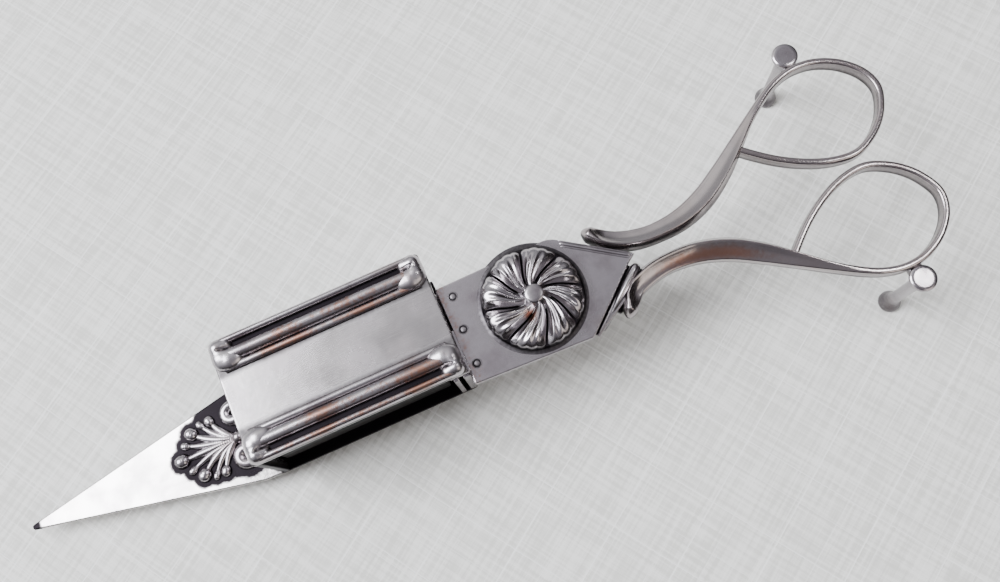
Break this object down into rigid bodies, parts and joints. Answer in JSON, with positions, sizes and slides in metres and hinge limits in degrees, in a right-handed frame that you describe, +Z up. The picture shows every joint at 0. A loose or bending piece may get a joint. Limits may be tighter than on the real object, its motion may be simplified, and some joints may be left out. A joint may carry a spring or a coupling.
{
  "type": "wick trimmer",
  "caption": "Scissor-like wick trimmer on small feet, with a snuff box and presser on its limbs, a pointed tip, a rosette over the pivot and finger bows.",
  "frame": {"origin": "middle of the bounding box in plan, on the plane that the three feet stand on", "axes": "+X from the pointed tip to the finger bows, the longest extent; +Z up, along the pivot pin and square to the plane of the feet; +Y towards the rear handle, which is the one on the presser limb"},
  "size_m": [0.1799, 0.053, 0.025],
  "materials": {
    "silver_plate": "worn polished silver plate over copper, dark tarnish in the recesses",
    "blackened_steel": "steel blackened by soot",
    "steel_pin": "plain steel"
  },
  "bodies": {
    "box_limb": {"floor_blade": "silver_plate", "shell_ornament": "silver_plate", "box_rear_wall": "silver_plate", "box_tip_wall": "silver_plate", "box_pivot_wall": "silver_plate", "box_cover": "silver_plate", "front_reeded_moulding": "silver_plate", "rear_reeded_moulding": "silver_plate", "leaf_clasp_front_tip": "silver_plate", "leaf_clasp_front_pivot": "silver_plate", "leaf_clasp_rear_tip": "silver_plate", "leaf_clasp_rear_pivot": "silver_plate", "limb_riser": "silver_plate", "lower_pivot_plate": "silver_plate", "front_collar_bar": "silver_plate", "front_handle": "silver_plate", "front_bow": "silver_plate", "front_foot": "silver_plate", "tip_foot": "silver_plate", "pivot_pin": "steel_pin"},
    "presser_limb": {"upper_pivot_plate": "silver_plate", "boss_rim": "silver_plate", "rosette": "silver_plate", "rosette_button": "silver_plate", "rear_edge_moulding": "silver_plate", "presser_tongue": "silver_plate", "presser_plate": "blackened_steel", "rear_handle": "silver_plate", "rear_bow": "silver_plate", "rear_foot": "silver_plate"}
  },
  "joints": [
    {"name": "pivot_hinge", "type": "hinge", "parent": "box_limb", "child": "presser_limb", "pos_m": [0.0147, 0.0007, 0.0183], "axis": [0, 0, 1], "range_deg": [0, 45]}
  ]
}
